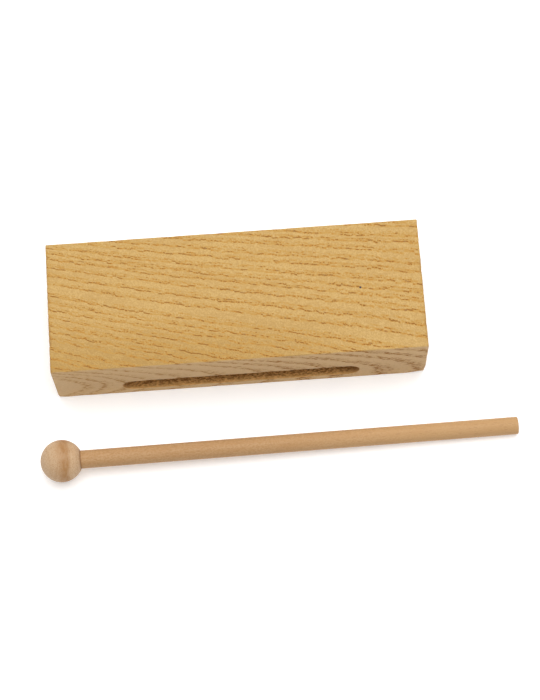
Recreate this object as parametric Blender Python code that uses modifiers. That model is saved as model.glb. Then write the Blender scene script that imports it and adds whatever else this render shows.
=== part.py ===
"""Slotted wood block and its round-headed beater, lying side by side on a table.

Units are metres and +Z is up. The origin is the centre of the block's underside. +X runs along the
block, -Y is the side with the slot, and the beater lies in front of that side with its head to the left.
"""

import math

import bmesh
import bpy
from mathutils import Matrix

MM = 0.001

# Block: one piece of solid hardwood
BLOCK_LENGTH = 180 * MM
BLOCK_DEPTH = 65 * MM
BLOCK_HEIGHT = 40 * MM
BLOCK_EDGE = 0.6 * MM  # radius sanded on every edge of the block

# Slot: a blind groove with round ends, routed into the front face
SLOT_HEIGHT = 12 * MM
TONGUE_WALL = 5.5 * MM  # wood under the slot, the thin tongue that rings
END_WALL = 32.5 * MM  # wood between each end of the slot and that end of the block
BACK_WALL = 15 * MM  # wood behind the slot

# Beater: a turned ball glued on a round stick
HEAD_DIAMETER = 20.5 * MM
HEAD_CAP = 6.3 * MM  # wood between the bottom of the bore and the front of the ball
HEAD_FLAT_RIM = 0.2 * MM  # width of the flat that is turned around the bore's mouth
STICK_DIAMETER = 8.8 * MM
STICK_TAPER = 0.3 * MM  # how much thinner the stick is at its free end
STICK_EDGE = 0.5 * MM  # radius on the stick's free end
STICK_CHAMFER = 0.5 * MM  # bevel on the glued end
BEATER_LENGTH = 231.5 * MM  # from the front of the ball to the stick's free end
GLUE_GAP = 0.2 * MM  # glue line between the stick and its bore, all round and at the bottom

# Where the beater lies
BEATER_CLEARANCE = 25 * MM  # free space between the block's front face and the ball
HEAD_INSET = 1 * MM  # how far the ball's centre lies inside the block's left end
BEATER_HEADING = math.radians(0.9)  # turn of the stick away from the block's long axis

# Facets
SLOT_SEGMENTS = 48
TURNED_STEPS = 48
BALL_ARC_STEPS = 24
EDGE_ARC_STEPS = 4
EDGE_SEGMENTS = 2
SHARP_ANGLE = math.radians(35)
MERGE_DISTANCE = 0.01 * MM

# Finishes: colour (linear RGB) and roughness
BLOCK_WOOD = ((0.66, 0.42, 0.17), 0.55)
HEAD_WOOD = ((0.62, 0.42, 0.23), 0.5)
STICK_WOOD = ((0.60, 0.38, 0.19), 0.5)


def clear_scene():
    for old in list(bpy.data.objects):
        bpy.data.objects.remove(old)


def new_collection(name):
    collection = bpy.data.collections.new(name)
    bpy.context.scene.collection.children.link(collection)
    return collection


def wood(name, finish):
    colour, roughness = finish
    material = bpy.data.materials.new(name)
    material.use_nodes = True
    shader = material.node_tree.nodes["Principled BSDF"]
    shader.inputs["Base Color"].default_value = (*colour, 1.0)
    shader.inputs["Roughness"].default_value = roughness
    shader.inputs["Metallic"].default_value = 0.0
    return material


def object_from(shape, name, collection, material=None):
    """Makes an object of a finished bmesh and puts it in a collection."""
    mesh = bpy.data.meshes.new(name)
    shape.to_mesh(mesh)
    shape.free()
    made = bpy.data.objects.new(name, mesh)
    collection.objects.link(made)
    if material:
        mesh.materials.append(material)
    return made


def make_slot_cutter(collection):
    """The path of the router bit: a cylinder along Y whose two halves are drawn apart along X.

    It reaches as far out of the front face as into it. Its facets, and not its corners, touch the slot's
    floor and roof, so the slot has its full height.
    """
    half_facet = math.pi / SLOT_SEGMENTS
    radius = SLOT_HEIGHT / 2 / math.cos(half_facet)
    slot_depth = BLOCK_DEPTH - BACK_WALL
    half_run = BLOCK_LENGTH / 2 - END_WALL - SLOT_HEIGHT / 2
    shape = bmesh.new()
    bmesh.ops.create_cone(
        shape,
        cap_ends=True,
        segments=SLOT_SEGMENTS,
        radius1=radius,
        radius2=radius,
        depth=2 * slot_depth,
    )
    turned = Matrix.Rotation(math.pi / 2, 4, "X") @ Matrix.Rotation(half_facet, 4, "Z")
    bmesh.ops.transform(shape, matrix=turned, verts=shape.verts)
    for vert in shape.verts:
        vert.co.x += math.copysign(half_run, vert.co.x)
    cutter = object_from(shape, "slot_cutter", collection)
    cutter.data.shade_smooth()
    cutter.location = (0, -BLOCK_DEPTH / 2, TONGUE_WALL + SLOT_HEIGHT / 2)
    cutter.hide_render = True
    cutter.display_type = "WIRE"
    return cutter


def make_block(parts, cutters, material):
    shape = bmesh.new()
    bmesh.ops.create_cube(shape, size=1)
    bmesh.ops.scale(shape, vec=(BLOCK_LENGTH, BLOCK_DEPTH, BLOCK_HEIGHT), verts=shape.verts)
    block = object_from(shape, "block", parts, material)
    block.data.shade_smooth()
    block.location = (0, 0, BLOCK_HEIGHT / 2)
    slot = block.modifiers.new("slot", "BOOLEAN")
    slot.operation = "DIFFERENCE"
    slot.solver = "EXACT"
    slot.object = make_slot_cutter(cutters)
    eased = block.modifiers.new("eased_edges", "BEVEL")
    eased.width = BLOCK_EDGE
    eased.segments = EDGE_SEGMENTS
    eased.limit_method = "ANGLE"
    eased.angle_limit = SHARP_ANGLE
    eased.use_clamp_overlap = False
    eased.harden_normals = True
    return block


def arc(radius, centre_z, start, end, steps, centre_x=0.0):
    """Points (x, z) of an arc in a turned profile. An angle is measured from the axis, at the top."""
    points = []
    for step in range(steps + 1):
        angle = start + (end - start) * step / steps
        points.append((centre_x + radius * math.sin(angle), centre_z + radius * math.cos(angle)))
    return points


def make_turned(name, profile, collection, material, holder):
    """Turns a profile of (radius, height) points, from the top down the outer side, about its Z axis.

    The turned mesh is then shaded smooth, all but its corners, which a bare profile can't be.
    """
    shape = bmesh.new()
    corners = [shape.verts.new((x, 0, z)) for x, z in profile]
    for above, below in zip(corners, corners[1:]):
        shape.edges.new((above, below))
    turned = object_from(shape, name, collection, material)
    screw = turned.modifiers.new("turned", "SCREW")
    screw.steps = TURNED_STEPS
    screw.render_steps = TURNED_STEPS
    screw.use_merge_vertices = True
    screw.merge_threshold = MERGE_DISTANCE
    evaluated = turned.evaluated_get(bpy.context.evaluated_depsgraph_get())
    outline = turned.data
    turned.data = bpy.data.meshes.new_from_object(evaluated)
    turned.modifiers.remove(screw)
    bpy.data.meshes.remove(outline)
    turned.data.shade_smooth()
    turned.data.set_sharp_from_angle(angle=SHARP_ANGLE)
    turned.parent = holder
    return turned


# The beater is turned about Z, with the ball's centre at height 0 and the stick's free end below.


def flat_angle():
    """Angle between the beater's axis and the rim of the ball's flat, seen from the ball's centre."""
    return math.asin((STICK_DIAMETER / 2 + GLUE_GAP + HEAD_FLAT_RIM) / (HEAD_DIAMETER / 2))


def flat_distance():
    """Distance from the ball's centre to the flat where the stick goes in."""
    return HEAD_DIAMETER / 2 * math.cos(flat_angle())


def tail_distance():
    """Distance from the ball's centre to the stick's free end."""
    return BEATER_LENGTH - HEAD_DIAMETER / 2


def make_head(collection, material, holder):
    radius = HEAD_DIAMETER / 2
    bore_radius = STICK_DIAMETER / 2 + GLUE_GAP
    bore_bottom = radius - HEAD_CAP
    outside = arc(radius, 0, 0, math.pi - flat_angle(), BALL_ARC_STEPS)
    inside = [(bore_radius, -flat_distance()), (bore_radius, bore_bottom), (0, bore_bottom)]
    return make_turned("beater_head", outside + inside, collection, material, holder)


def make_stick(collection, material, holder):
    top = HEAD_DIAMETER / 2 - HEAD_CAP - GLUE_GAP
    radius = STICK_DIAMETER / 2
    tail_radius = radius - STICK_TAPER / 2
    tail = -tail_distance()
    glued_end = [
        (0, top),
        (radius - STICK_CHAMFER, top),
        (radius, top - STICK_CHAMFER),
        (radius, -flat_distance()),
    ]
    free_end = arc(
        STICK_EDGE, tail + STICK_EDGE, math.pi / 2, math.pi, EDGE_ARC_STEPS, tail_radius - STICK_EDGE
    )
    return make_turned("beater_stick", glued_end + free_end + [(0, tail)], collection, material, holder)


def resting_pitch():
    """Angle by which the stick slopes down from the ball to its free end, with both on the table.

    The lowest point of the free end is on its rounded edge, whose centre is inset by the edge's radius.
    """
    along = tail_distance() - STICK_EDGE
    out = (STICK_DIAMETER - STICK_TAPER) / 2 - STICK_EDGE
    drop = HEAD_DIAMETER / 2 - STICK_EDGE
    return math.asin(drop / math.hypot(along, out)) - math.atan2(out, along)


def make_beater(collection, head_wood, stick_wood):
    """The head and the stick hang on one empty at the ball's centre, whose -Z axis runs down the stick."""
    beater = bpy.data.objects.new("beater_axis", None)
    collection.objects.link(beater)
    beater.location = (
        -BLOCK_LENGTH / 2 + HEAD_INSET,
        -BLOCK_DEPTH / 2 - BEATER_CLEARANCE - HEAD_DIAMETER / 2,
        HEAD_DIAMETER / 2,
    )
    beater.rotation_euler = (0, resting_pitch() - math.pi / 2, BEATER_HEADING)
    make_head(collection, head_wood, beater)
    make_stick(collection, stick_wood, beater)
    return beater


def main():
    clear_scene()
    parts = new_collection("wood_block")
    cutters = new_collection("cutters")
    make_block(parts, cutters, wood("block_wood", BLOCK_WOOD))
    make_beater(parts, wood("head_wood", HEAD_WOOD), wood("stick_wood", STICK_WOOD))


main()
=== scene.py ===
import math

import bmesh
import bpy
import numpy as np
from mathutils import Euler, Matrix, Vector


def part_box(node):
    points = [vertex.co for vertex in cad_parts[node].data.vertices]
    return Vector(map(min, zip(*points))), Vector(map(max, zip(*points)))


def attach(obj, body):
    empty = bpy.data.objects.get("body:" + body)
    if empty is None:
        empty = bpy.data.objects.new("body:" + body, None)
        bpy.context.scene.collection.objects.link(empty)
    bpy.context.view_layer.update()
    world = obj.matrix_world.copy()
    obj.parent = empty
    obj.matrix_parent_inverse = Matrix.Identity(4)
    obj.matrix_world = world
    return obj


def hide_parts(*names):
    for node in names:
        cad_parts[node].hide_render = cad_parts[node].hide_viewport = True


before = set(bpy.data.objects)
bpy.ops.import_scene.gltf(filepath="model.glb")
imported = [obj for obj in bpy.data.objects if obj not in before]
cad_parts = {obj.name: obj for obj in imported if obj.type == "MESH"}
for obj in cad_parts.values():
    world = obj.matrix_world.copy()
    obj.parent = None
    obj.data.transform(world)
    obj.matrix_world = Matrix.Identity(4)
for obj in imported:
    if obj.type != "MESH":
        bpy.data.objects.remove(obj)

bl_info = {
    "name": "Wood block and beater",
    "version": (1, 0, 0),
    "blender": (4, 5, 0),
    "location": "3D View > Sidebar > Wood block",
    "description": "Dresses a slotted wood block and its beater in their wood, and sets a plain stage",
    "category": "Object",
}

MM = 0.001
SOLID_DECIMALS = 7  # decimals of a metre that tell the corners of a solid apart
MERGE_DISTANCE = 0.001 * MM  # points closer together than this become one

# The block's growth rings. A ring's place is measured in metres along Y. At the front of the block it is
# where the ring crosses the line x = 0, z = RING_HEIGHT. Seen from above the rings run to the right and
# forward, and spread out towards the right. Seen from the front each one bulges to the right at the height
# where it stands upright.
RING_SLOPE = 0.177  # how far a ring comes forward for each metre to the right
RING_BOW = -0.086  # the same with the square of that distance
RING_TWIST = 2.04  # the same with its cube
RING_BULGE = 7.8  # the same with the square of the height above or below the upright part
RING_SPREAD = 1.61  # share by which the rings widen for each metre to the right
RING_SPREAD_GROWTH = 4.7  # the same with the square of that distance
RING_BULGE_GROWTH = 190  # the same with the square of the height above or below the upright part
RING_HEIGHT = 10.2 * MM  # height of the upright part at x = 0
RING_HEIGHT_FALL = 0.062  # how far that height falls for each metre to the right
RING_SWAY = 1.2 * MM  # size of the long waves in the rings
RING_WOBBLE = 1.0 * MM  # size of the short waves in the rings
FIRST_RING = -58.0 * MM
RING_WIDTHS = (
    5.9, 2.6, 3.1, 3.3, 4.2, 4.8, 5.1, 3.6, 3.3, 4.2, 3.9, 3.3, 3.6,
    6.0, 4.2, 4.8, 3.9, 2.7, 3.3, 4.2, 3.0, 4.2, 3.3, 2.4, 4.2, 3.6,
)  # millimetres of growth a year, from the front of the block to the back

# How far apart two rings take their noise, so that no two of them look alike
GROOVE_STRIDE = 3.7
PORE_STRIDE = 7.3
HUE_STRIDE = 5.1

# The groove that brushing leaves in the soft wood of a ring
GROOVE_MIDDLE = 0.4 * MM  # where it is deepest, past the ring's beginning
GROOVE_FADE = (1.2 * MM, 0.3 * MM)  # distances from its middle between which it sets in

# The rows of pores
PORE_SWING = 1.5 * MM  # how far a row swings from side to side
DASH_SHIFT = 0.8 * MM  # how far the dashes of a row lie to one side or the other

# Knocks on the block: a place as shares of its half sizes, how far the knock reaches and how deep it goes
KNOCKS = (
    ((1, -1, -1), 10 * MM, 0.8 * MM),
    ((-1, -1, -1), 4 * MM, 0.5 * MM),
    ((-1, -0.56, 1), 1.6 * MM, 0.7 * MM),
    ((1, 0.2, 1), 1.4 * MM, 0.3 * MM),
    ((-1, 0.35, 1), 1.5 * MM, 0.3 * MM),
    ((1, -0.62, 1), 1.6 * MM, 0.35 * MM),
)

# Where the darkest pores lie on the top: the middle (x, y) of a stretch of a row, and its half length
DARK_PORES = (
    ((-26.9 * MM, -26.5 * MM), 6.0 * MM),
    ((-17.5 * MM, -28.8 * MM), 3.0 * MM),
    ((-70.5 * MM, -0.6 * MM), 5.0 * MM),
    ((-69.5 * MM, -17.2 * MM), 3.0 * MM),
    ((28.1 * MM, 2.3 * MM), 3.0 * MM),
)
DARK_PORES_REACH = 1.4 * MM  # half width of such a stretch
SPECK_PLACE = (60.0 * MM, -0.4 * MM)  # middle (x, y) of a lone dark speck on the top
SPECK_RADIUS = 0.55 * MM

# Places on the block between which its wood changes
TOP_MARKS_Z = (30 * MM, 39 * MM)  # marks that only the top shows
RICH_X = (80 * MM, -10 * MM)  # richer gold towards the left of the top
RICH_Y = (-2 * MM, -34 * MM)  # and towards its front
CROWD_X = (-60 * MM, 60 * MM)  # more pores towards the right of the sawn faces
# Painted shade: the slot's walls darken towards its right end, where that end wall lies in shade
SLOT_END_SHADE_X = (44 * MM, 57 * MM)  # darker walls at the right end of the slot
LIP_DEPTH = 0.4 * MM  # how far behind the front face the slot's own wood sets in

# Places on the beater between which its wood changes, along its axis from the ball's centre
BAND_HEAD_Z = (5.0 * MM, -2.0 * MM)  # brown band of the ball, on the side away from the stick
BAND_STICK_Z = (-5.7 * MM, -2.3 * MM)  # and on the stick's side
PALE_END_Z = (-60 * MM, -200 * MM)  # paler wood towards the stick's free end
SEAM_SHADE_REACH = (0.6 * MM, 0.1 * MM)  # painted shade along the seam, reaching from the seam to either side

# Sockets of Blender's Mix node when it mixes colours
MIX_FACTOR = 0
MIX_FIRST = 6
MIX_SECOND = 7
MIX_RESULT = 2

# The stage
FILM_HEIGHT = 36  # millimetres
CAMERA_REACH = 50  # metres


def screen(red, green, blue):
    """Linear colour of an 8-bit screen colour, by the sRGB curve."""
    def linear(level):
        share = level / 255
        return share / 12.92 if share <= 0.04045 else ((share + 0.055) / 1.055) ** 2.4

    return linear(red), linear(green), linear(blue)


# Meshes and objects


def mesh_points(mesh):
    """A mesh's points as rows of (x, y, z)."""
    points = np.empty(len(mesh.vertices) * 3)
    mesh.vertices.foreach_get("co", points)
    return points.reshape(-1, 3)


def mesh_from(shape, name):
    """Makes a mesh of a finished bmesh."""
    mesh = bpy.data.meshes.new(name)
    shape.to_mesh(mesh)
    shape.free()
    return mesh


def new_object(name, data):
    made = bpy.data.objects.new(name, data)
    bpy.context.scene.collection.objects.link(made)
    return made


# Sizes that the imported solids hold


def corner_points(node):
    """The corners of a solid, each once, as rows of (x, y, z)."""
    return np.unique(mesh_points(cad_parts[node].data).round(SOLID_DECIMALS), axis=0)


def slot_box():
    """Lowest and highest corner of the slot, from the block's corners that lie well inside its box."""
    low, high = (np.array(corner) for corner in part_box("block"))
    margin = 2 * MM
    points = corner_points("block")
    inside = ((points > low + margin) & (points < high - margin)).all(axis=1)
    slot_low = points[inside].min(axis=0)
    slot_low[1] = low[1]
    return slot_low, points[inside].max(axis=0)


def beater_pose():
    """Matrix that takes the beater from standing on Z, with its ball's centre at 0, to where it lies.

    Gives the ball's radius too.
    """
    low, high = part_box("beater_head")
    radius = (high.y - low.y) / 2
    stick = corner_points("beater_stick")
    at_head = stick[:, 0] < stick[:, 0].mean()
    along = Vector(stick[at_head].mean(axis=0) - stick[~at_head].mean(axis=0)).normalized()
    heading = math.atan2(-along.y, -along.x)
    pitch = math.asin(along.z)
    centre = Vector((low.x + radius, (low.y + high.y) / 2, low.z + radius))
    turn = Euler((0, pitch - math.pi / 2, heading))
    return Matrix.Translation(centre) @ turn.to_matrix().to_4x4(), radius


# Node trees: what both the shaders and the geometry trees are written with


class Term:
    """A number inside a node tree, so that a formula for the tree reads like a formula."""

    def __init__(self, socket):
        self.socket = socket
        self.tree = socket.id_data

    def math(self, operation, *others):
        made = self.tree.nodes.new("ShaderNodeMath")
        made.operation = operation
        for socket, value in zip(made.inputs, (self, *others)):
            join(value, socket)
        return Term(made.outputs[0])

    def __add__(self, other):
        return self.math("ADD", other)

    def __sub__(self, other):
        return self.math("SUBTRACT", other)

    def __mul__(self, other):
        return self.math("MULTIPLY", other)

    def __truediv__(self, other):
        return self.math("DIVIDE", other)

    def __pow__(self, other):
        return self.math("POWER", other)


def join(value, socket):
    """Links a term or a socket to an input, or writes a plain value into it."""
    if isinstance(value, Term):
        value = value.socket
    if isinstance(value, bpy.types.NodeSocket):
        socket.id_data.links.new(value, socket)
    else:
        socket.default_value = value


def add_node(tree, kind, inputs=(), **settings):
    """Adds a node, with values for its inputs by their names or numbers."""
    made = tree.nodes.new(kind)
    for name, value in settings.items():
        setattr(made, name, value)
    for name, value in dict(inputs).items():
        join(value, made.inputs[name])
    return made


def split(vector):
    made = add_node(vector.id_data, "ShaderNodeSeparateXYZ", {"Vector": vector})
    return [Term(socket) for socket in made.outputs]


def combine(x, y, z):
    return add_node(x.tree, "ShaderNodeCombineXYZ", {"X": x, "Y": y, "Z": z}).outputs["Vector"]


def largest(terms):
    first, *others = terms
    for other in others:
        first = first.math("MAXIMUM", other)
    return first


def fade(value, start, end, low=0.0, high=1.0):
    """Goes smoothly from low, where the value is start, to high, where it is end."""
    inputs = {"Value": value, "From Min": start, "From Max": end, "To Min": low, "To Max": high}
    made = add_node(value.tree, "ShaderNodeMapRange", inputs, interpolation_type="SMOOTHSTEP")
    return Term(made.outputs["Result"])


def measured(place, lumps):
    """A place in units of the lumps' three sizes. A size of 1 leaves its part of the place as it is."""
    return combine(*(part if lump == 1 else part / lump for part, lump in zip(place, lumps)))


def noise(place, lumps, detail=2.0, roughness=0.5):
    """Soft noise around 0.5, in lumps of about the given sizes."""
    vector = measured(place, lumps)
    inputs = {"Vector": vector, "Scale": 1.0, "Detail": detail, "Roughness": roughness}
    return Term(add_node(vector.id_data, "ShaderNodeTexNoise", inputs).outputs[0])


def cells(place, lumps):
    """Distance to the middle of the nearest of scattered cells, and two random numbers of that cell."""
    vector = measured(place, lumps)
    made = add_node(vector.id_data, "ShaderNodeTexVoronoi", {"Vector": vector, "Scale": 1.0})
    chance = split(made.outputs["Color"])
    return Term(made.outputs["Distance"]), chance[0], chance[1]


def mix(factor, first, second, blend="MIX"):
    """Blends a second colour into a first one by a factor. Each is a socket or a plain colour."""
    made = add_node(factor.tree, "ShaderNodeMix", data_type="RGBA", blend_type=blend)
    join(factor, made.inputs[MIX_FACTOR])
    for number, colour in ((MIX_FIRST, first), (MIX_SECOND, second)):
        linked = isinstance(colour, bpy.types.NodeSocket)
        join(colour if linked else (*colour, 1.0), made.inputs[number])
    return made.outputs[MIX_RESULT]


def ring_curve(value, inverse=False):
    """Counts the rings: from a share of all growth to a share of all rings, or inverse."""
    total = sum(RING_WIDTHS)
    made = add_node(value.tree, "ShaderNodeFloatCurve", {"Value": value})
    points = made.mapping.curves[0].points
    growth = 0
    for number, width in enumerate(RING_WIDTHS[:-1], start=1):
        growth += width
        point = growth / total, number / len(RING_WIDTHS)
        points.new(*(reversed(point) if inverse else point))
    for point in points:
        point.handle_type = "VECTOR"
    made.mapping.update()
    return Term(made.outputs[0])


def ring_field(point):
    """Works out the growth ring at a point of the block.

    Gives the ring's number, the place of the point across the rings, and how far the point lies past the
    ring's beginning, both in metres.
    """
    here = split(point)
    x, y, z = here
    sway = noise(here, (40 * MM, 12 * MM, 12 * MM), detail=1.0)
    wobble = noise(here, (6 * MM, 3 * MM, 3 * MM))
    low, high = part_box("block")
    bulge = (z + x * RING_HEIGHT_FALL - RING_HEIGHT) ** 2
    bulge_on_top = (x * RING_HEIGHT_FALL + (high.z - RING_HEIGHT)) ** 2
    # Towards the back the rings are as wide at every height as on the top
    growth = bulge + (bulge_on_top - bulge) * fade(y, low.y, high.y)
    forward = y + x * RING_SLOPE + x * x * RING_BOW + x * x * x * RING_TWIST + bulge * RING_BULGE
    spread = x * RING_SPREAD + x * x * RING_SPREAD_GROWTH + growth * RING_BULGE_GROWTH + 1
    place = forward / spread + (sway - 0.5) * RING_SWAY + (wobble - 0.5) * RING_WOBBLE
    span = sum(RING_WIDTHS) * MM
    rings = len(RING_WIDTHS)
    number = (ring_curve((place - FIRST_RING) / span) * rings).math("ROUND")
    start = ring_curve(number / rings, inverse=True) * span + FIRST_RING
    return number, place, place - start


def new_tree(name, inputs):
    """A geometry node tree with a Geometry input and output, and other inputs given as (name, kind)."""
    tree = bpy.data.node_groups.new(name, "GeometryNodeTree")
    tree.interface.new_socket("Geometry", in_out="OUTPUT", socket_type="NodeSocketGeometry")
    tree.interface.new_socket("Geometry", in_out="INPUT", socket_type="NodeSocketGeometry")
    for label, kind in inputs:
        tree.interface.new_socket(label, in_out="INPUT", socket_type="NodeSocket" + kind)
    return tree, tree.nodes.new("NodeGroupInput").outputs


def position(tree):
    return tree.nodes.new("GeometryNodeInputPosition").outputs[0]


def sunk(normal, depth):
    """The offset that sinks a surface by a depth."""
    inwards = add_node(depth.tree, "ShaderNodeVectorMath", {"Vector": normal}, operation="SCALE")
    join(depth * -1, inwards.inputs["Scale"])
    return inwards.outputs["Vector"]


def finish_tree(tree, geometry, material):
    """Ends a geometry tree: smooth faces, nothing instanced, one material."""
    smooth = add_node(tree, "GeometryNodeSetShadeSmooth", {"Geometry": geometry})
    realized = add_node(tree, "GeometryNodeRealizeInstances", {"Geometry": smooth.outputs[0]})
    painted = add_node(
        tree, "GeometryNodeSetMaterial", {"Geometry": realized.outputs[0], "Material": material}
    )
    out = tree.nodes.new("NodeGroupOutput")
    tree.links.new(painted.outputs[0], out.inputs[0])


def grown(name, mesh, tree, values):
    """Runs a mesh through a geometry node tree and gives a plain object of the result."""
    source = new_object(name + "_source", mesh)
    modifier = source.modifiers.new(tree.name, "NODES")
    modifier.node_group = tree
    for item in tree.interface.items_tree:
        if item.in_out == "INPUT" and item.name in values:
            modifier[item.identifier] = values[item.name]
    evaluated = source.evaluated_get(bpy.context.evaluated_depsgraph_get())
    made = new_object(name, bpy.data.meshes.new_from_object(evaluated))
    source.modifiers.remove(modifier)
    bpy.data.objects.remove(source)
    bpy.data.meshes.remove(mesh)
    made.data.name = name
    made.data.materials.clear()
    made.data.materials.append(values["Material"])
    return made


# The block's shape


def pairs(x, z):
    """Rows of (x, z), where one of the two may be a single number."""
    return np.column_stack(np.broadcast_arrays(x, z))


class BlockShape:
    """The block's surface as closed loops of (x, y, z) points, all with the same number of points.

    The loops run from the middle of the slot's floor out to its mouth and round to the middle of the back.
    """

    MID_STEPS = 94  # points along the slot's straight run, above it and below it
    END_STEPS = 33  # points from there to the end of the block, above and below
    CORNER_STEPS = 3  # points round each corner at the end of the block
    SIDE_STEPS = 34  # points down the end of the block
    FLOOR_LOOPS = 7  # loops over the slot's floor, and so on outwards
    WALL_LOOPS = 34
    FRONT_LOOPS = 31
    SIDE_LOOPS = 101
    BACK_LOOPS = 33
    BENDS = tuple(math.radians(angle) for angle in (22.5, 45, 67.5))  # of the loops round an edge
    FILLET = 0.5 * MM  # rounding between the slot's walls and its floor

    def __init__(self, edge, mouth):
        low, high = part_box("block")
        slot_low, slot_high = slot_box()
        self.edge = edge
        self.mouth = mouth
        self.reach = high.x
        self.floor, self.top = low.z, high.z
        self.front, self.back = low.y, high.y
        self.slot_end = slot_high[1]
        self.slot_height = (slot_low[2] + slot_high[2]) / 2
        self.slot_radius = (slot_high[2] - slot_low[2]) / 2
        self.half_run = slot_high[0] - self.slot_radius
        self.mid = np.linspace(-self.half_run, self.half_run, self.MID_STEPS, endpoint=False)

    def close(self, right_end, high, low, y):
        """Makes a loop of its right end, from (half_run, high) to (half_run, low), and straight runs."""
        left_end = right_end * (-1, 1)
        flat = np.concatenate([
            pairs(self.mid, high), right_end[:-1], pairs(-self.mid, low), left_end[:0:-1],
        ])
        return np.column_stack([flat[:, 0], np.full(len(flat), y), flat[:, 1]])

    def slot_loop(self, grow, y):
        """The slot's outline, grown by some amount."""
        radius = self.slot_radius + grow
        steps = 2 * self.END_STEPS + 2 * self.CORNER_STEPS + self.SIDE_STEPS
        angle = np.linspace(math.pi / 2, -math.pi / 2, steps + 1)
        end = pairs(self.half_run + radius * np.cos(angle), self.slot_height + radius * np.sin(angle))
        return self.close(end, self.slot_height + radius, self.slot_height - radius, y)

    def edge_loop(self, inset, corner, y):
        """The block's outline, drawn in by some amount, with round corners."""
        reach, top, floor = self.reach - inset, self.top - inset, self.floor + inset
        upper = np.linspace(self.half_run, reach - corner, self.END_STEPS, endpoint=False)
        side = np.linspace(top - corner, floor + corner, self.SIDE_STEPS, endpoint=False)
        lower = np.linspace(reach - corner, self.half_run, self.END_STEPS + 1)
        turn = np.linspace(0, math.pi / 2, self.CORNER_STEPS, endpoint=False)
        out, down = np.sin(turn), np.cos(turn)
        end = np.concatenate([
            pairs(upper, top),
            pairs(reach - corner + corner * out, top - corner + corner * down),
            pairs(reach, side),
            pairs(reach - corner + corner * down, floor + corner - corner * out),
            pairs(lower, floor),
        ])
        return self.close(end, top, floor, y)

    def bend_loop(self, bend, face, inwards):
        """The block's outline part of the way round the edge of its front or back."""
        inset = self.edge * (1 - math.sin(bend))
        y = face + inwards * self.edge * (1 - math.cos(bend))
        return self.edge_loop(inset, self.edge * math.sin(bend), y)

    def loops(self):
        fillet, mouth, edge = self.FILLET, self.mouth, self.edge
        rim = self.slot_loop(mouth, self.front)
        front_edge = self.edge_loop(edge, 0, self.front)
        back_edge = self.edge_loop(edge, 0, self.back)
        spine = self.slot_loop(-self.slot_radius, self.back)
        for grow in np.linspace(-self.slot_radius, -fillet, self.FLOOR_LOOPS):
            yield self.slot_loop(grow, self.slot_end)
        for bend in self.BENDS:
            inwards = fillet * (1 - math.sin(bend))
            yield self.slot_loop(-inwards, self.slot_end - fillet * (1 - math.cos(bend)))
        for y in np.linspace(self.slot_end - fillet, self.front + mouth, self.WALL_LOOPS):
            yield self.slot_loop(0, y)
        for bend in self.BENDS:
            yield self.slot_loop(mouth * (1 - math.cos(bend)), self.front + mouth * (1 - math.sin(bend)))
        for share in np.linspace(0, 1, self.FRONT_LOOPS):
            yield rim + (front_edge - rim) * share
        for bend in self.BENDS:
            yield self.bend_loop(bend, self.front, 1)
        for y in np.linspace(self.front + edge, self.back - edge, self.SIDE_LOOPS):
            yield self.edge_loop(0, edge, y)
        for bend in reversed(self.BENDS):
            yield self.bend_loop(bend, self.back, -1)
        for share in np.linspace(0, 1, self.BACK_LOOPS):
            yield back_edge + (spine - back_edge) * share

    def mesh(self):
        """Skins the loops, and closes the seams where the first and the last loop fold flat."""
        loops = list(self.loops())
        around = len(loops[0])
        shape = bmesh.new()
        rows = [[shape.verts.new(point) for point in loop] for loop in loops]
        for inner, outer in zip(rows, rows[1:]):
            for here in range(around):
                after = (here + 1) % around
                shape.faces.new((inner[here], inner[after], outer[after], outer[here]))
        bmesh.ops.remove_doubles(shape, verts=shape.verts, dist=MERGE_DISTANCE)
        bmesh.ops.dissolve_degenerate(shape, edges=shape.edges, dist=MERGE_DISTANCE)
        bmesh.ops.recalc_face_normals(shape, faces=shape.faces)
        return mesh_from(shape, "block_shape")


def mark_slot(mesh, front, slot_low, slot_high):
    """Marks the slot's inside with 1, fading in at its mouth, and the rest with 0."""
    points = mesh_points(mesh)
    slack = 0.1 * MM
    inside = (points > slot_low - slack).all(axis=1) & (points < slot_high + slack).all(axis=1)
    depth = np.clip((points[:, 1] - front) / LIP_DEPTH, 0, 1)
    attribute = mesh.attributes.new("slot", "FLOAT", "POINT")
    attribute.data.foreach_set("value", (inside * depth).astype(np.float32))


def knock(tree, point, place, reach, depth):
    """A dent that pushes the surface around a place of the block's edge towards the middle."""
    low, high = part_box("block")
    sides = Vector(share if abs(share) == 1 else 0 for share in place)
    centre = [(a + b) / 2 + (b - a) / 2 * share for a, b, share in zip(low, high, place)]
    away = add_node(tree, "ShaderNodeVectorMath", {0: point, 1: centre}, operation="DISTANCE")
    push = add_node(tree, "ShaderNodeVectorMath", {0: -sides.normalized() * depth}, operation="SCALE")
    join(fade(Term(away.outputs["Value"]), reach, 0.0), push.inputs["Scale"])
    return push.outputs["Vector"]


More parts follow.
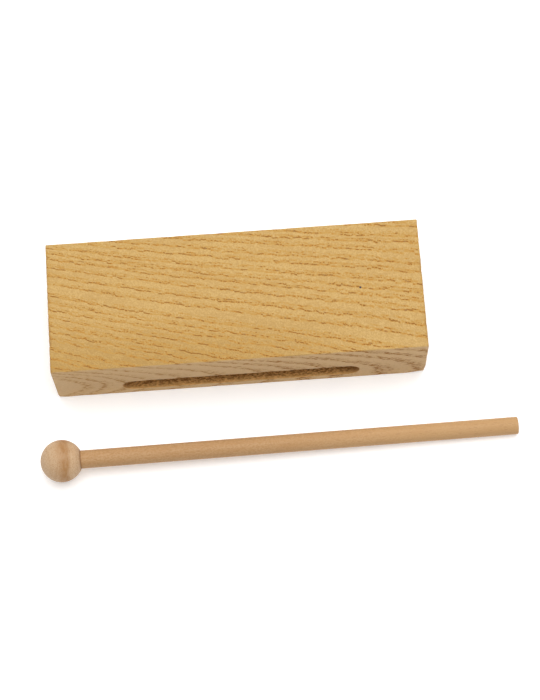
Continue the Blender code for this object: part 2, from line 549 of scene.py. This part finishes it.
def brushed_grain_tree():
    """Sinks the soft wood of each ring, roughens the slot and wears the edges, always into the solid."""
    tree, given = new_tree("brushed_grain", [
        ("Groove depth", "Float"), ("Fuzz depth", "Float"), ("Slot roughness", "Float"),
        ("Edge wear", "Float"), ("Material", "Material"),
    ])
    point = position(tree)
    normal = tree.nodes.new("GeometryNodeInputNormal").outputs[0]
    here = split(point)
    x, _, z = here
    number, place, past = ring_field(point)
    breaks = noise((x, number * GROOVE_STRIDE, z), (12 * MM, 1, 12 * MM))
    near = (past - GROOVE_MIDDLE).math("ABSOLUTE")
    groove = fade(near, *GROOVE_FADE) * fade(breaks, 0.35, 0.65)
    fuzz = noise((x, place, z), (3 * MM, 0.8 * MM, 0.8 * MM))
    facing = [part.math("ABSOLUTE") for part in split(normal)]
    corner = fade(largest(facing), 0.99, 0.8)
    dents = noise(here, (9 * MM, 9 * MM, 9 * MM), detail=3.0)
    wear = corner * fade(dents, 0.4, 0.75)
    torn = noise(here, (4 * MM, 3 * MM, 2 * MM), detail=3.0)
    inside = Term(add_node(
        tree, "GeometryNodeInputNamedAttribute", {"Name": "slot"}, data_type="FLOAT"
    ).outputs["Attribute"])
    depth = (
        groove * Term(given["Groove depth"])
        + fuzz * Term(given["Fuzz depth"])
        + wear * Term(given["Edge wear"])
        + inside * torn * Term(given["Slot roughness"])
    )
    offset = sunk(normal, depth)
    for dent in KNOCKS:
        inputs = {0: offset, 1: knock(tree, point, *dent)}
        offset = add_node(tree, "ShaderNodeVectorMath", inputs).outputs["Vector"]
    marked = add_node(tree, "GeometryNodeSetPosition", {"Geometry": given["Geometry"], "Offset": offset})
    for name, part in (("end_grain", facing[0]), ("sawn", facing[1])):
        marked = add_node(
            tree, "GeometryNodeStoreNamedAttribute",
            {"Geometry": marked.outputs[0], "Name": name, "Value": fade(part, 0.3, 0.7)},
            data_type="FLOAT", domain="POINT",
        )
    finish_tree(tree, marked.outputs[0], given["Material"])
    return tree


# The beater's shape: turned from a profile of (radius, height) points


def arc(radius, start, end, steps, x=0.0, z=0.0):
    """Points of an arc about (x, z). An angle is measured from the Z axis."""
    return [
        (x + radius * math.sin(angle), z + radius * math.cos(angle))
        for angle in np.linspace(start, end, steps + 1)
    ]


def run(start, end, step):
    """Points of a straight stretch of the profile, both ends included, about one step apart."""
    count = max(1, round(math.dist(start, end) / step))
    return [
        tuple(a + (b - a) * number / count for a, b in zip(start, end))
        for number in range(count + 1)
    ]


def chain(*stretches):
    """One profile of stretches that each begin where the one before ends."""
    first, *others = stretches
    return first + [point for stretch in others for point in stretch[1:]]


class BeaterShape:
    """Profiles of the ball and the stick, in sizes that are measured on their solids.

    The beater stands on Z, with the ball's centre at height 0 and the stick's free end below.
    """

    BALL_STEPS = 96  # faces around the ball
    BALL_ARC_STEPS = 90  # faces from its front to its flat
    STICK_STEPS = 48  # faces around the stick
    TAIL_ARC_STEPS = 4  # faces over the rounding of its free end
    TAIL_EDGE = 0.5 * MM  # that rounding
    BORE_FIT = 0.03 * MM  # gap between the stick and the bore's wall
    BORE_END_GAP = 0.2 * MM  # gap between the stick's glued end and the bore's bottom

    def __init__(self):
        self.pose, self.ball_radius = beater_pose()
        local = np.array(self.pose.inverted())
        head, stick = (
            corner_points(node) @ local[:3, :3].T + local[:3, 3]
            for node in ("beater_head", "beater_stick")
        )
        out, height = np.hypot(stick[:, 0], stick[:, 1]), stick[:, 2]
        self.top, self.tail = height.max(), height.min()
        self.flat = head[:, 2].min()
        self.stick_radius = out[height > self.flat - MM].max()
        self.tail_radius = out[height < self.tail + MM].max()

    def ball(self):
        """From the ball's front round its outside, over its flat and up the bore to the bore's bottom."""
        rim = math.acos(-self.flat / self.ball_radius)
        flat_rim = (self.ball_radius * math.sin(rim), self.flat)
        bore_radius = self.stick_radius + self.BORE_FIT
        bore_bottom = self.top + self.BORE_END_GAP
        return chain(
            arc(self.ball_radius, 0, math.pi - rim, self.BALL_ARC_STEPS),
            run(flat_rim, (bore_radius, self.flat), step=0.3 * MM),
            run((bore_radius, self.flat), (bore_radius, bore_bottom), step=2 * MM),
            run((bore_radius, bore_bottom), (0, bore_bottom), step=2 * MM),
        )

    def stick(self):
        """From the middle of the glued end down the outside to the middle of the free end."""
        edge = self.TAIL_EDGE
        edge_radius, edge_height = self.tail_radius - edge, self.tail + edge
        return chain(
            run((0, self.top), (self.stick_radius, self.top), step=1.5 * MM),
            run((self.stick_radius, self.top), (self.stick_radius, self.flat), step=2 * MM),
            run((self.stick_radius, self.flat), (self.tail_radius, edge_height), step=1.2 * MM),
            arc(edge, math.pi / 2, math.pi, self.TAIL_ARC_STEPS, edge_radius, edge_height),
            run((edge_radius, self.tail), (0, self.tail), step=0.5 * MM),
        )


def turned_tree():
    """Turns a profile about Z, and cuts the turning marks and the grain into it.

    Each point of a grid takes a point of the profile and an angle.
    """
    tree, given = new_tree("turned_wood", [
        ("Steps", "Int"), ("Points", "Int"), ("Mark depth", "Float"), ("Mark pitch", "Float"),
        ("Grain depth", "Float"), ("Material", "Material"),
    ])
    columns = Term(given["Steps"]) + 1
    grid = add_node(tree, "GeometryNodeMeshGrid", {
        "Size X": 1.0, "Size Y": 1.0, "Vertices X": columns, "Vertices Y": given["Points"],
    })
    x, y, _ = split(position(tree))
    angle = (x + 0.5) * -math.tau
    number = ((y + 0.5) * (Term(given["Points"]) - 1)).math("ROUND")
    sampled = add_node(tree, "GeometryNodeSampleIndex", {
        "Geometry": given["Geometry"], "Index": number,
    }, data_type="FLOAT_VECTOR", domain="POINT")
    join(position(tree), sampled.inputs["Value"])
    radius, _, height = split(sampled.outputs[0])
    turned = combine(radius * angle.math("COSINE"), radius * angle.math("SINE"), height)
    shaped = add_node(
        tree, "GeometryNodeSetPosition", {"Geometry": grid.outputs["Mesh"], "Position": turned}
    )
    closed = add_node(
        tree, "GeometryNodeMergeByDistance", {"Geometry": shaped.outputs[0], "Distance": MERGE_DISTANCE}
    )
    point = split(position(tree))
    marks = (point[2] / Term(given["Mark pitch"]) * math.tau).math("SINE") * 0.5 + 0.5
    strength = noise(point, (20 * MM, 20 * MM, 4 * MM))
    grain = noise(point, (0.6 * MM, 0.6 * MM, 4 * MM), detail=3.0)
    depth = marks * strength * Term(given["Mark depth"]) + grain * Term(given["Grain depth"])
    offset = sunk(tree.nodes.new("GeometryNodeInputNormal").outputs[0], depth)
    worked = add_node(tree, "GeometryNodeSetPosition", {"Geometry": closed.outputs[0], "Offset": offset})
    finish_tree(tree, worked.outputs[0], given["Material"])
    return tree


def profile_mesh(points):
    """A chain of edges through (radius, height) points."""
    mesh = bpy.data.meshes.new("profile")
    edges = [(number, number + 1) for number in range(len(points) - 1)]
    mesh.from_pydata([(radius, 0, height) for radius, height in points], edges, [])
    return mesh


def turned_piece(name, profile, pose, values):
    """Turns a profile and lays the piece where the pose takes it, with all its faces outwards."""
    made = grown(name, profile_mesh(profile), turned_tree(), {"Points": len(profile), **values})
    made.data.transform(pose)
    shape = bmesh.new()
    shape.from_mesh(made.data)
    bmesh.ops.recalc_face_normals(shape, faces=shape.faces)
    shape.to_mesh(made.data)
    shape.free()
    return made


# Materials


def new_material(name):
    material = bpy.data.materials.new(name)
    material.use_nodes = True
    tree = material.node_tree
    shader = tree.nodes["Principled BSDF"]
    return material, tree, shader


def read_attribute(tree, name):
    made = add_node(tree, "ShaderNodeAttribute", attribute_name=name)
    return Term(made.outputs["Fac"])


def finish_wood(tree, shader, colour, roughness, gloss, height, strength, depth):
    """Joins a wood's colour and sheen to its shader, and a bump of some strength and depth."""
    join(colour, shader.inputs["Base Color"])
    join(roughness, shader.inputs["Roughness"])
    join(gloss, shader.inputs["Specular IOR Level"])
    bump = add_node(tree, "ShaderNodeBump", {"Height": height, "Strength": strength, "Distance": depth})
    join(bump.outputs[0], shader.inputs["Normal"])


def pore_row(point, number, past, seed, reach, lack):
    """One row of pores along a ring's beginning.

    past is the distance past the row's middle and reach the row's half width, both in metres. The more the
    row lacks, the more it breaks up into dashes. Gives the pores and the stained wood around them.
    """
    x, _, z = point
    step = number * PORE_STRIDE + seed
    swing = noise((x, step, z), (3.5 * MM, 1, 0.5 * MM), detail=4.0, roughness=0.7)
    distance, side, chance = cells((x, step, z), (4 * MM, 1, 0.8 * MM))
    off = (past - (swing - 0.5) * PORE_SWING - (side - 0.5) * DASH_SHIFT).math("ABSOLUTE")
    # The added steps keep the three noises of a row apart
    crowd = noise((x, step + 31.7, z), (9 * MM, 1, 0.9 * MM), detail=3.0, roughness=0.65)
    bead = noise((x, step + 57.1, z), (0.8 * MM, 1, 0.3 * MM), detail=1.0)
    strength = crowd * 0.7 + bead * 1.1 + chance * 0.3 - (lack + 0.53)
    pores = fade(off, reach * 0.9, reach * 0.3) * fade(strength, 0.36, 0.7)
    pores = pores * fade(distance, 0.85, 0.5)
    stain = fade(off, reach * 1.5, reach * 0.5) * fade(strength, 0.2, 0.42)
    return pores, stain


def oval(along, across, half_length, half_width):
    """Is 0 in the middle of an oval, 1 on its rim and more outside."""
    return (along / half_length) ** 2 + (across / half_width) ** 2


def dark_stretches(point):
    """Is 1 around the stretches of the top where the rows hold their darkest pores, and 0 elsewhere."""
    x, y, z = point
    parts = []
    for (middle_x, middle_y), half_length in DARK_PORES:
        along = x - middle_x
        across = y - middle_y + along * RING_SLOPE
        parts.append(fade(oval(along, across, half_length, DARK_PORES_REACH), 1.3, 0.5))
    return largest(parts) * fade(z, *TOP_MARKS_Z)


def speck(point):
    """Is 1 on the lone dark speck of the top, and 0 elsewhere."""
    x, y, z = point
    middle_x, middle_y = SPECK_PLACE
    inside = oval(x - middle_x, y - middle_y, SPECK_RADIUS, SPECK_RADIUS)
    return fade(inside, 1.4, 0.6) * fade(z, *TOP_MARKS_Z)


def smooth_wood(settings, point, place, sawn):
    """The wood between the rows of pores. Gives its colour and the height of its fibres."""
    x, y, z = point
    cloud = noise((x, place, z), (30 * MM, 8 * MM, 8 * MM))
    fleck = noise((x, place, z), (1.8 * MM, 0.8 * MM, 1.4 * MM), roughness=0.6)
    grit = noise((x, place, z), (0.7 * MM, 0.5 * MM, 1.2 * MM), detail=1.0)
    colour = mix(fade(cloud, 0.35, 0.65), settings.late_wood, settings.deep_wood)
    colour = mix(fade(fleck, 0.4, 0.65) * 0.85, colour, settings.pale_wood)
    colour = mix(fade(grit, 0.4, 0.65) * 0.85, colour, settings.fibre)
    rich = fade(y, *RICH_Y) * fade(x, *RICH_X)
    colour = mix(rich * (sawn * -1 + 1), colour, settings.rich_wood, "MULTIPLY")
    # Painted sheen: the front and back faces take a paler, greyer tone that stands in for the pale veil
    # they show at a grazing view
    colour = mix(sawn * 0.5, colour, settings.sawn_sheen)
    return colour, fleck * 0.4 + grit * 0.4


def porous_wood(settings, point, rings, sawn, colour):
    """Lays the rows of pores and the stain around them over a colour. Gives the new colour and the pores.

    The rows of each ring lie one behind the other, and each lacks more than the one before. Towards the
    right of the sawn faces the second row is fuller.
    """
    number, place, past = rings
    x, _, z = point
    darker = dark_stretches(point)
    crowded = sawn * (fade(x, *CROWD_X) - 0.5)
    rows = (
        pore_row(point, number, past, seed=0.0, reach=0.42 * MM, lack=sawn * -0.06 - darker * 0.2 - 0.1),
        pore_row(point, number, past - 0.8 * MM, seed=3.9, reach=0.36 * MM, lack=crowded * -0.2 + 0.07),
        pore_row(point, number, past - 1.6 * MM, seed=6.1, reach=0.34 * MM, lack=sawn * 0.1 + 0.16),
    )
    pores, stain = (largest(layers) for layers in zip(*rows))
    hue = noise((x, number * HUE_STRIDE, z), (3 * MM, 1, 3 * MM), detail=1.0)
    depth = fade(pores + hue * 0.8 + darker * 0.4, 0.95, 1.45)
    # Some pores turn greyer where a noise picks them
    grey_spots = fade(noise((x, place, z), (2 * MM, 0.9 * MM, 2 * MM), detail=1.0), 0.5, 0.7)
    pore_colour = mix(depth, settings.pore_light, settings.pore_dark)
    pore_colour = mix(grey_spots * 0.6, pore_colour, settings.pore_grey)
    pore_colour = mix(sawn, pore_colour, settings.sawn_pore)
    colour = mix(stain * (sawn * -0.35 + 0.7), colour, settings.early_wood)
    cover = crowded * 0.4 + sawn * 0.12 + 0.61
    colour = mix(pores * cover, colour, pore_colour)
    return mix(speck(point), colour, settings.knot), pores


def routed_wood(settings, point, slot, colour):
    """Lays the slot's torn walls, a painted shade at its right end and a painted highlight along its lip
    over a colour. Gives the new colour and the tearing.
    """
    x, _, _ = point
    torn = noise(point, (1.6 * MM, 0.8 * MM, 0.8 * MM), detail=4.0, roughness=0.7)
    walls = mix(fade(torn, 0.4, 0.62), settings.slot_dark_and_shade, settings.slot_light_and_lip_highlight)
    # Painted shade: the walls darken towards the slot's right end
    walls = mix(fade(x, *SLOT_END_SHADE_X) * 0.6, walls, settings.slot_dark_and_shade)
    colour = mix(slot * 0.78, colour, walls)
    # The mark of the slot is between 0 and 1 on the slot's mouth alone. Painted highlight: that rounded
    # edge is lightened as if it caught the light
    lip_highlight = slot * (slot * -1 + 1) * 4
    return mix(lip_highlight * 0.7, colour, settings.slot_light_and_lip_highlight), torn


def block_wood(settings):
    """Ring-porous hardwood: golden late wood, and brown rows of pores where each year's growth begins."""
    material, tree, shader = new_material("block_wood_grain")
    coordinates = tree.nodes.new("ShaderNodeTexCoord").outputs["Object"]
    point = split(coordinates)
    rings = ring_field(coordinates)
    slot, end_grain, sawn = (read_attribute(tree, name) for name in ("slot", "end_grain", "sawn"))
    colour, fibres = smooth_wood(settings, point, rings[1], sawn)
    colour, pores = porous_wood(settings, point, rings, sawn, colour)
    colour, torn = routed_wood(settings, point, slot, colour)
    finish_wood(
        tree, shader,
        colour=mix(end_grain * 0.45, colour, settings.end_wood),
        roughness=fade(pores, 0.0, 1.0, 0.58, 0.8),
        gloss=fade(pores + slot * 0.6, 0.0, 1.0, 0.3, 0.05),
        height=fibres - pores + slot * torn, strength=0.45, depth=0.08 * MM,
    )
    return material


def beater_space(tree, pose):
    """Object coordinates turned back to the beater's own axis, with the ball's centre at 0."""
    point = tree.nodes.new("ShaderNodeTexCoord").outputs["Object"]
    made = add_node(tree, "ShaderNodeMapping", {
        "Vector": point, "Location": pose.to_translation(), "Rotation": pose.to_euler(),
    }, vector_type="TEXTURE")
    return split(made.outputs["Vector"])


def flecks(point, lumps, rim):
    """Scattered flecks of uneven strength, each of which fades in from its rim."""
    distance, chance, _ = cells(point, lumps)
    return fade(distance, rim, 0.2) * fade(chance, 0.4, 0.9)


def seam_shade_line(z, seam):
    """Where the stick meets the ball, both take a thin dark line of painted shade along the seam."""
    return fade((z - seam).math("ABSOLUTE"), *SEAM_SHADE_REACH)


def stick_wood(settings, pose, seam):
    """Close-grained hardwood dowel, with long faint streaks, fine mottling and short dark flecks."""
    material, tree, shader = new_material("stick_wood_grain")
    point = beater_space(tree, pose)
    z = point[2]
    streak = noise(point, (1.4 * MM, 1.4 * MM, 50 * MM), detail=3.0)
    cloud = noise(point, (4 * MM, 4 * MM, 18 * MM))
    mottle = noise(point, (0.6 * MM, 0.6 * MM, 1 * MM))
    fleck = flecks(point, (0.7 * MM, 0.7 * MM, 3 * MM), rim=0.45)
    colour = mix(fade(streak, 0.35, 0.65) * 0.5, settings.stick_light, settings.stick_dark)
    colour = mix(fade(cloud, 0.45, 0.7) * 0.4, colour, settings.stick_band)
    colour = mix(fade(mottle, 0.4, 0.62) * 0.9, colour, settings.stick_dark)
    colour = mix(fade(z, *PALE_END_Z) * 0.5, colour, settings.stick_pale)
    colour = mix(fleck * 0.22, colour, settings.fleck)
    finish_wood(
        tree, shader,
        # Painted shade along the seam where the stick meets the ball
        colour=mix(seam_shade_line(z, seam) * 0.6, colour, settings.seam_shade),
        roughness=fade(mottle, 0.3, 0.7, 0.55, 0.68), gloss=0.2,
        height=streak + mottle * 0.6 - fleck * 0.5, strength=0.5, depth=0.04 * MM,
    )
    return material


def ball_wood(settings, pose, seam):
    """The same kind of wood, with one broad brown band across the ball and faint thin growth lines."""
    material, tree, shader = new_material("ball_wood_grain")
    point = beater_space(tree, pose)
    x, y, z = point
    sway = noise(point, (7 * MM, 7 * MM, 7 * MM))
    layer = z + (sway - 0.5) * (4 * MM)
    blotch = noise(point, (4 * MM, 4 * MM, 1.6 * MM))
    lines = noise((layer + x * 0.25, x, y), (0.9 * MM, 20 * MM, 20 * MM), detail=1.0)
    mottle = noise(point, (0.6 * MM, 0.6 * MM, 0.6 * MM))
    fleck = flecks(point, (0.6 * MM, 1.8 * MM, 0.6 * MM), rim=0.5)
    band = fade(layer, *BAND_STICK_Z) * fade(layer, *BAND_HEAD_Z)
    brown = band * fade(blotch, 0.35, 0.65, 0.68, 1.0)
    colour = mix(brown * 0.95, settings.ball_light, settings.ball_dark)
    colour = mix(fade(lines, 0.5, 0.7) * 0.2, colour, settings.ball_dark)
    colour = mix(fade(mottle, 0.45, 0.65) * 0.45, colour, settings.stick_band)
    colour = mix(fleck * 0.25, colour, settings.fleck)
    finish_wood(
        tree, shader,
        # Painted shade along the seam where the stick meets the ball
        colour=mix(seam_shade_line(z, seam) * 0.5, colour, settings.seam_shade),
        roughness=fade(mottle, 0.3, 0.7, 0.5, 0.62), gloss=0.2,
        height=lines * 0.5 + mottle * 0.6 - fleck * 0.5, strength=0.4, depth=0.04 * MM,
    )
    return material


# The stage


def make_floor(settings):
    shape = bmesh.new()
    bmesh.ops.create_grid(shape, x_segments=8, y_segments=8, size=settings.floor_size / 2)
    floor = new_object("floor", mesh_from(shape, "floor"))
    material, _, shader = new_material("floor_paper")
    shader.inputs["Base Color"].default_value = (*settings.floor_colour, 1)
    shader.inputs["Emission Color"].default_value = (*settings.floor_colour, 1)
    shader.inputs["Emission Strength"].default_value = settings.floor_glow
    shader.inputs["Roughness"].default_value = 0.9
    shader.inputs["Specular IOR Level"].default_value = 0.1
    floor.data.materials.append(material)


def make_lights(settings):
    world = bpy.data.worlds.new("white_room")
    world.use_nodes = True
    background = world.node_tree.nodes["Background"]
    background.inputs["Color"].default_value = (1, 1, 1, 1)
    background.inputs["Strength"].default_value = settings.sky
    bpy.context.scene.world = world
    light = bpy.data.lights.new("softbox", "AREA")
    light.shape = "DISK"
    light.size = settings.key_size
    light.energy = settings.key_power
    lamp = new_object("softbox", light)
    lamp.location = settings.key_place
    lamp.rotation_euler = (-lamp.location).to_track_quat("-Z", "Y").to_euler()


def make_camera(settings):
    data = bpy.data.cameras.new("camera")
    data.sensor_fit = "VERTICAL"
    data.sensor_height = FILM_HEIGHT
    data.lens = settings.lens
    data.clip_end = CAMERA_REACH
    camera = new_object("camera", data)
    turn = (
        Matrix.Rotation(-settings.heading, 4, "Z")
        @ Matrix.Rotation(math.pi / 2 - settings.pitch, 4, "X")
        @ Matrix.Rotation(settings.roll, 4, "Z")
    )
    back = turn @ Vector((0, 0, settings.distance))
    camera.matrix_world = Matrix.Translation(Vector(settings.target) + back) @ turn
    bpy.context.scene.camera = camera
    bpy.context.scene.view_settings.view_transform = "Standard"


# Settings


def number_property(label, description, default, **kind):
    return bpy.props.FloatProperty(name=label, description=description, default=default, **kind)


def length_property(label, description, default):
    return number_property(label, description, default, unit="LENGTH", precision=5)


def angle_property(label, description, degrees):
    return number_property(label, description, math.radians(degrees), subtype="ANGLE")


def place_property(label, description, default):
    return bpy.props.FloatVectorProperty(
        name=label, description=description, default=default, size=3, subtype="TRANSLATION", unit="LENGTH"
    )


def colour_property(label, description, *levels):
    """A colour whose default is given as an 8-bit screen colour."""
    return bpy.props.FloatVectorProperty(
        name=label, description=description, default=screen(*levels), size=3, subtype="COLOR", min=0, max=1
    )


class BlockSettings(bpy.types.PropertyGroup):
    edge_radius: length_property("Edge radius", "Rounding of the block's outer edges", 0.35 * MM)
    mouth_radius: length_property("Mouth radius", "Rounding of the slot's mouth", 0.3 * MM)
    groove_depth: length_property("Groove depth", "How deep the soft wood is brushed out", 0.12 * MM)
    fuzz_depth: length_property("Fuzz depth", "Unevenness of the sawn and sanded faces", 0.03 * MM)
    slot_roughness: length_property("Slot roughness", "Torn grain on the slot's walls", 0.2 * MM)
    edge_wear: length_property("Edge wear", "How deep wear goes into the edges", 0.3 * MM)
    late_wood: colour_property("Late wood", "Smooth wood between the pore rows", 192, 156, 91)
    rich_wood: colour_property("Rich wood", "Tint of the gold at the front left", 236, 230, 210)
    deep_wood: colour_property("Deep wood", "The same wood where it is darker", 185, 148, 84)
    pale_wood: colour_property("Pale wood", "Pale flecks in the smooth wood", 197, 162, 100)
    fibre: colour_property("Fibre", "Fine dark grit of the cut fibres", 177, 140, 79)
    early_wood: colour_property("Early wood", "Orange wood around the pores", 180, 136, 58)
    pore_light: colour_property("Light pore", "The lightest pores", 174, 104, 36)
    pore_dark: colour_property("Dark pore", "The darkest pores", 108, 56, 34)
    knot: colour_property("Knot", "The lone dark speck on the top", 58, 48, 56)
    # Grey tone that some of the pores take, where a noise picks them
    pore_grey: colour_property("Grey pore", "Open pores that hold dust", 128, 104, 88)
    sawn_pore: colour_property("Sawn pore", "Pores on the sawn front and back", 126, 70, 8)
    # Painted sheen: paler, greyer tone that stands in for the veil on the front and back faces
    sawn_sheen: colour_property("Sawn wood", "Greyer tone of the sawn front and back", 206, 172, 130)
    end_wood: colour_property("End wood", "Duller tone of the end grain", 172, 128, 82)
    # Also the colour of the painted highlight along the slot's lip
    slot_light_and_lip_highlight: colour_property("Light slot wall", "Routed wood where it is light", 238, 186, 118)
    # Also the colour of the painted shade at the right end of the slot
    slot_dark_and_shade: colour_property("Dark slot wall", "Routed wood where it is torn", 141, 94, 47)


class BeaterSettings(bpy.types.PropertyGroup):
    mark_depth: length_property("Mark depth", "How deep the turning marks of the ball go", 0.02 * MM)
    mark_pitch: length_property("Mark pitch", "From one turning mark to the next", 0.9 * MM)
    ball_grain: length_property("Ball grain", "How deep the grain of the ball goes", 0.02 * MM)
    stick_grain: length_property("Stick grain", "How deep the grain of the stick goes", 0.03 * MM)
    stick_light: colour_property("Light stick", "The stick's lighter streaks", 184, 147, 107)
    stick_pale: colour_property("Pale end", "The stick near its free end", 197, 157, 109)
    stick_dark: colour_property("Dark stick", "The stick's darker streaks", 171, 131, 87)
    stick_band: colour_property("Warm cloud", "Warm clouds on the stick and ball", 171, 125, 80)
    ball_light: colour_property("Light ball", "The ball's pale wood", 197, 167, 133)
    ball_dark: colour_property("Dark ball", "The ball's brown band and growth lines", 161, 118, 73)
    # Painted shade: colour of the dark line along the seam between stick and ball
    seam_shade: colour_property("Glue", "Stain where the stick meets the ball", 124, 82, 44)
    fleck: colour_property("Fleck", "Short dark flecks", 136, 94, 58)


class StageSettings(bpy.types.PropertyGroup):
    floor_colour: colour_property("Floor", "Plain pale floor", 244, 244, 244)
    floor_glow: number_property("Floor glow", "Light the floor gives off, as a lit table does", 0.3, min=0)
    floor_size: length_property("Floor size", "Side of the square floor", 8.0)
    key_power: number_property("Key light", "Power of the large soft light above", 34.0, unit="POWER")
    key_size: length_property("Key size", "Width of that light", 2.0)
    key_place: place_property("Key place", "Where that light hangs, aimed at the block", (0.1, 0.25, 1.6))
    sky: number_property("Sky", "Brightness of the white surroundings", 0.35, min=0)
    target: place_property("Target", "Point the camera looks at", (0.0148, -0.0222, 0.020))
    distance: length_property("Distance", "From the camera to the target", 1.0806)
    pitch: angle_property("Pitch", "Angle of the view below the horizon", 71.98)
    heading: angle_property("Heading", "Turn of the view from +Y towards +X", 1.06)
    roll: angle_property("Roll", "Turn of the camera about its line of sight", -3.014)
    lens: number_property("Lens", "Focal length for a picture 36 mm high", 114.8, unit="CAMERA")


# Operators


class WOODBLOCK_OT_block(bpy.types.Operator):
    """Make the block's grained body in place of its plain solid"""

    bl_idname = "woodblock.block"
    bl_label = "Block"

    def execute(self, context):
        settings = context.scene.woodblock_block
        shape = BlockShape(settings.edge_radius, settings.mouth_radius)
        mesh = shape.mesh()
        mark_slot(mesh, shape.front, *slot_box())
        block = grown("grained_block", mesh, brushed_grain_tree(), {
            "Groove depth": settings.groove_depth,
            "Fuzz depth": settings.fuzz_depth,
            "Slot roughness": settings.slot_roughness,
            "Edge wear": settings.edge_wear,
            "Material": block_wood(settings),
        })
        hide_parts("block")
        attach(block, "block")
        return {"FINISHED"}


class WOODBLOCK_OT_beater(bpy.types.Operator):
    """Make the beater's ball and stick in place of their plain solids"""

    bl_idname = "woodblock.beater"
    bl_label = "Beater"

    def execute(self, context):
        settings = context.scene.woodblock_beater
        shape = BeaterShape()
        ball = turned_piece("turned_ball", shape.ball(), shape.pose, {
            "Steps": shape.BALL_STEPS,
            "Mark depth": settings.mark_depth,
            "Mark pitch": settings.mark_pitch,
            "Grain depth": settings.ball_grain,
            "Material": ball_wood(settings, shape.pose, shape.flat),
        })
        dowel = turned_piece("dowel_stick", shape.stick(), shape.pose, {
            "Steps": shape.STICK_STEPS,
            "Mark depth": 0.0,
            "Mark pitch": settings.mark_pitch,
            "Grain depth": settings.stick_grain,
            "Material": stick_wood(settings, shape.pose, shape.flat),
        })
        pieces = ((ball, "beater_head", "head_wood"), (dowel, "beater_stick", "stick_wood"))
        for piece, node, slot in pieces:
            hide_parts(node)
            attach(piece, "beater")
        return {"FINISHED"}


class WOODBLOCK_OT_stage(bpy.types.Operator):
    """Set the floor, the lights, the surroundings and the camera"""

    bl_idname = "woodblock.stage"
    bl_label = "Stage"

    def execute(self, context):
        settings = context.scene.woodblock_stage
        make_floor(settings)
        make_lights(settings)
        make_camera(settings)
        return {"FINISHED"}


# Each operator's name and the settings it reads
PIECES = (
    ("block", "woodblock_block"), ("beater", "woodblock_beater"), ("stage", "woodblock_stage"),
)


class WOODBLOCK_PT_panel(bpy.types.Panel):
    """Lists the pieces and their settings"""

    bl_label = "Wood block"
    bl_idname = "WOODBLOCK_PT_panel"
    bl_space_type = "VIEW_3D"
    bl_region_type = "UI"
    bl_category = "Wood block"

    def draw(self, context):
        for operator, group in PIECES:
            box = self.layout.box()
            box.operator("woodblock." + operator)
            settings = getattr(context.scene, group)
            for name in settings.bl_rna.properties.keys():
                if name not in ("rna_type", "name"):
                    box.prop(settings, name)


GROUPS = (BlockSettings, BeaterSettings, StageSettings)
CLASSES = (*GROUPS, WOODBLOCK_OT_block, WOODBLOCK_OT_beater, WOODBLOCK_OT_stage, WOODBLOCK_PT_panel)


def register():
    for kind in CLASSES:
        bpy.utils.register_class(kind)
    for (_, group), kind in zip(PIECES, GROUPS):
        setattr(bpy.types.Scene, group, bpy.props.PointerProperty(type=kind))


def unregister():
    for _, group in PIECES:
        delattr(bpy.types.Scene, group)
    for kind in reversed(CLASSES):
        bpy.utils.unregister_class(kind)


def main():
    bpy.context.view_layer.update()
    register()
    for operator, _ in PIECES:
        getattr(bpy.ops.woodblock, operator)()


if __name__ == "__main__":
    main()
